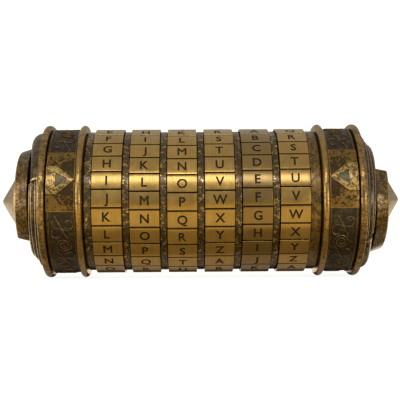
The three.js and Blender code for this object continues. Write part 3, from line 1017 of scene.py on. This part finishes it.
def knob_outline():
    """The knob's (angle from the corner, radius) outline: it swells, and a flat closes it."""
    turn = 360 - KNOB_FLAT
    outline = []
    for step in range(KNOB_STEPS + 1):
        gone = step / KNOB_STEPS
        radius = KNOB_RADIUS + KNOB_SWELL * smooth(gone, 0, 0.4)
        radius += (KNOB_END_RADIUS - radius) * smooth(gone, 0.55, 1)
        angle = math.radians(-gone * turn)
        outline.append(np.array((radius * math.cos(angle), radius * math.sin(angle))))
    outline.reverse()
    flat = outline[0] - outline[-1]
    start = outline[-1]
    outline += [start + flat * t / KNOB_FLAT_STEPS for t in range(1, KNOB_FLAT_STEPS)]
    return [(x, y) for x, y, _ in rounded(outline, 0.3, 1)]


def knob(side):
    """Its side tapers towards the face, whose worn edge runs round to a short flat."""
    outline = knob_outline()
    length = KNOB_FACE - KNOB_START
    # Place along the axis, how far in from the outline, how far on towards the cone, edge value
    levels = (
        (KNOB_START, 0.25, 0, -0.6),
        (KNOB_START + 0.25, 0, 0, -0.1),
        (KNOB_START + 1.2, 0, 0, 0),
        (KNOB_FACE - 0.6, 0, 0, 0.1),
        (KNOB_FACE - 0.3, 0.04, 0, 0.8),
        (KNOB_FACE - 0.1, 0.14, 0, 1),
        (KNOB_FACE, 0.34, 0, 0.8),
        (KNOB_FACE, 0.34, 0.4, 0),
        (KNOB_FACE, 0.34, 1, -0.8),
    )
    points, edge = [], []
    for x, inwards, share, value in levels:
        size = KNOB_SIZE - KNOB_TAPER * (x - KNOB_START) / length
        for across, up in inset(outline, inwards):
            angle = math.degrees(math.atan2(up, across)) + KNOB_CORNER[side]
            radius = size * math.hypot(across, up)
            points.append(place(x, radius + (CONE_RADIUS - radius) * share, angle))
            edge.append(value)
    shape = Shape()
    shape.add(points, edge, ring_faces(len(levels), len(outline), closed=False))
    node = side + "_knob"
    piece = shape.on_cap(side).piece("fine_" + node, [MATERIALS["aged_bronze"]])
    dress(piece, OWNER[side], "aged_bronze", node)


def cone(side):
    """A blunt cone on a short drum. Its sides would meet a little beyond its blunted tip."""
    node = side + "_cone"
    low, high, _ = span(node)
    tip = max(-low, high) - STAND_OFF[side]
    apex = tip + 0.3
    base, radius = KNOB_FACE - 0.5, CONE_RADIUS - 0.05
    corners = [
        (base, 0.02, 0.0),
        (base, radius, 0.0),
        (apex - CONE_RADIUS / CONE_SLOPE, radius, 0.5),
        (tip - 0.35, CONE_SLOPE * 0.65, 0.5),
        (tip - 0.06, CONE_SLOPE * 0.25, 0.2),
        (tip - 0.02, 0.02, 0.0),
    ]
    shape = turned(rounded(corners, 0.5, 4)).on_cap(side)
    dress(shape.piece("fine_" + node, [MATERIALS["grey_bronze"]]), OWNER[side], "grey_bronze", node)


for cap_side in ("left", "right"):
    rim(cap_side, "inner", crown=1.05, tone=0.8)
    rim(cap_side, "outer", crown=0.6, tone=0.4)
    filigree_band(cap_side)
    pointer_plate(cap_side)
    collar(cap_side)
    knob(cap_side)
    cone(cap_side)


# Inner parts keep their CAD shapes

INNER = {
    "brass": ("sleeve", "sleeve_seat", "drawer_plug",
              *(f"code_ring_{i}" for i in range(1, RING_COUNT + 1))),
    "steel": ("key_rail", "key_rivet_1", "key_rivet_2", "key_rivet_3",
              "left_cap_screw", "right_cap_screw"),
    "blackened": ("left_cap_shell", "right_cap_shell"),
}

for material_name, members in INNER.items():
    for member in members:
        for material_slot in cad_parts[member].material_slots:
            material_slot.link = "OBJECT"
            material_slot.material = MATERIALS[material_name]


# The stage: a pale floor, soft lights and the camera

def stage_floor():
    """Pale paper. Seen directly it is near white; what it throws on the metal is dimmer."""
    mesh = bpy.data.meshes.new("floor")
    height = cad_box[0].z - FLOOR_DROP
    corners = [(x, y, height) for x, y in rectangle(2 * FLOOR_HALF, 2 * FLOOR_HALF)]
    mesh.from_pydata(corners, [], [(0, 1, 2, 3)])
    floor = bpy.data.objects.new("floor", mesh)
    bpy.context.scene.collection.objects.link(floor)
    n = Nodes("paper")
    n.tree.nodes.remove(n.shader)
    output = next(x for x in n.tree.nodes if x.type == "OUTPUT_MATERIAL")
    seen = n.tree.nodes.new("ShaderNodeLightPath").outputs["Is Camera Ray"]
    dim = n.add("ShaderNodeBsdfDiffuse", Color=(0.54, 0.45, 0.24, 1))
    pale = n.add("ShaderNodeBsdfDiffuse", Color=(0.6, 0.6, 0.6, 1))
    glow = n.add("ShaderNodeEmission", Color=(1, 1, 1, 1), Strength=0.9)
    bright = n.add("ShaderNodeAddShader")
    n.put(bright.inputs[0], pale.outputs[0])
    n.put(bright.inputs[1], glow.outputs[0])
    both = n.add("ShaderNodeMixShader")
    n.put(both.inputs[0], seen)
    n.put(both.inputs[1], dim.outputs[0])
    n.put(both.inputs[2], bright.outputs[0])
    n.put(output.inputs["Surface"], both.outputs[0])
    mesh.materials.append(n.material)


def stage_world():
    """White to the camera. What it throws on the metal is dim at the horizon, brighter above."""
    world = bpy.data.worlds.new("studio")
    bpy.context.scene.world = world
    world.use_nodes = True
    tree = world.node_tree
    background = tree.nodes["Background"]
    background.inputs["Color"].default_value = WORLD_COLOR
    direction = tree.nodes.new("ShaderNodeSeparateXYZ")
    tree.links.new(tree.nodes.new("ShaderNodeTexCoord").outputs["Generated"], direction.inputs[0])
    overhead = tree.nodes.new("ShaderNodeMapRange")
    overhead.interpolation_type = "SMOOTHSTEP"
    for name, value in zip(("From Min", "From Max", "To Min", "To Max"), WORLD_RISE):
        overhead.inputs[name].default_value = value
    tree.links.new(direction.outputs["Z"], overhead.inputs["Value"])
    seen = tree.nodes.new("ShaderNodeLightPath").outputs["Is Camera Ray"]
    strength = tree.nodes.new("ShaderNodeMapRange")
    strength.inputs["To Max"].default_value = WORLD_SEEN
    tree.links.new(seen, strength.inputs["Value"])
    tree.links.new(overhead.outputs[0], strength.inputs["To Min"])
    tree.links.new(strength.outputs[0], background.inputs["Strength"])


def soft_light(name, angle, distance, middle, width, height, radiance, color):
    """A long rectangular light that faces the axis from an angle above the front.

    The radiance is what a mirror would show, whatever the light's size.
    """
    light = bpy.data.lights.new(name, "AREA")
    light.shape = "RECTANGLE"
    light.size, light.size_y = width, height
    light.energy = radiance * math.pi * width * height
    light.color = color
    lamp = bpy.data.objects.new(name, light)
    bpy.context.scene.collection.objects.link(lamp)
    turn = math.radians(angle)
    lamp.location = (middle, -distance * math.cos(turn), distance * math.sin(turn))
    lamp.rotation_euler = (math.radians(90) - turn, 0, 0)
    lamp.visible_camera = False
    return lamp


def floor_card(name, middle, width, start, end, radiance, color):
    """A glowing card that lies on the floor, facing up. Its start and end run along Y."""
    card = soft_light(name, 0, 0, 0, width, end - start, radiance, color)
    card.location = (middle, (start + end) / 2, cad_box[0].z - FLOOR_DROP + CARD_HEIGHT)
    card.rotation_euler = (math.pi, 0, 0)


def side_light(name, bearing, distance, rise, width, height, radiance):
    """An upright light at a bearing from the front, towards +X, that faces the middle."""
    light = soft_light(name, 0, 0, 0, width, height, radiance, CREAM)
    turn = math.radians(bearing)
    light.location = (distance * math.sin(turn), -distance * math.cos(turn), rise)
    light.rotation_euler = (math.radians(90), 0, turn)


def stage_camera():
    """The camera stands level with the axis, a little to the left, turned a hair about its aim."""
    data = bpy.data.cameras.new("camera")
    data.lens = CAMERA_LENS
    data.sensor_width = CAMERA_SENSOR
    data.clip_start = 0.01
    camera = bpy.data.objects.new("camera", data)
    bpy.context.scene.collection.objects.link(camera)
    camera.location = (CAMERA_ASIDE, -CAMERA_DISTANCE, 0)
    aim = Vector(CAMERA_AIM) - camera.location
    camera.rotation_mode = "QUATERNION"
    level = aim.to_track_quat("-Z", "Y")
    level.rotate(Quaternion(aim.normalized(), math.radians(CAMERA_ROLL)))
    camera.rotation_quaternion = level
    bpy.context.scene.camera = camera


stage_floor()
stage_world()
soft_light("key", angle=34.5, distance=0.5, middle=-0.2, width=0.8, height=0.08,
           radiance=2.9, color=CREAM)
soft_light("key_left", angle=34.5, distance=0.5, middle=-0.36, width=0.76, height=0.08,
           radiance=2.8, color=CREAM)
# Each card's middle and width along X, then its start and end along Y
floor_card("front_card", 0.0, 0.9, -0.205, -0.038, radiance=0.36, color=WARM)
floor_card("front_card_left", -0.06, 0.12, -0.205, -0.045, radiance=0.33, color=WARM)
floor_card("right_card", 0.25, 0.2, -0.3, -0.1, radiance=1.5, color=PALE)
floor_card("under_card", 0.0, 0.9, -0.0155, -0.004, radiance=0.17, color=PALE)
floor_card("left_card", -0.25, 0.2, -0.3, -0.1, radiance=1.6, color=PALE)
floor_card("back_card", 0.0, 0.9, 0.006, 0.2, radiance=1.1, color=PALE)
side_light("right_panel", bearing=38, distance=0.5, rise=0.01, width=0.2, height=0.16,
           radiance=3.6)
side_light("left_panel", bearing=-72, distance=0.5, rise=0.02, width=0.3, height=0.2,
           radiance=2.9)
stage_camera()
bpy.context.scene.view_settings.view_transform = "Standard"
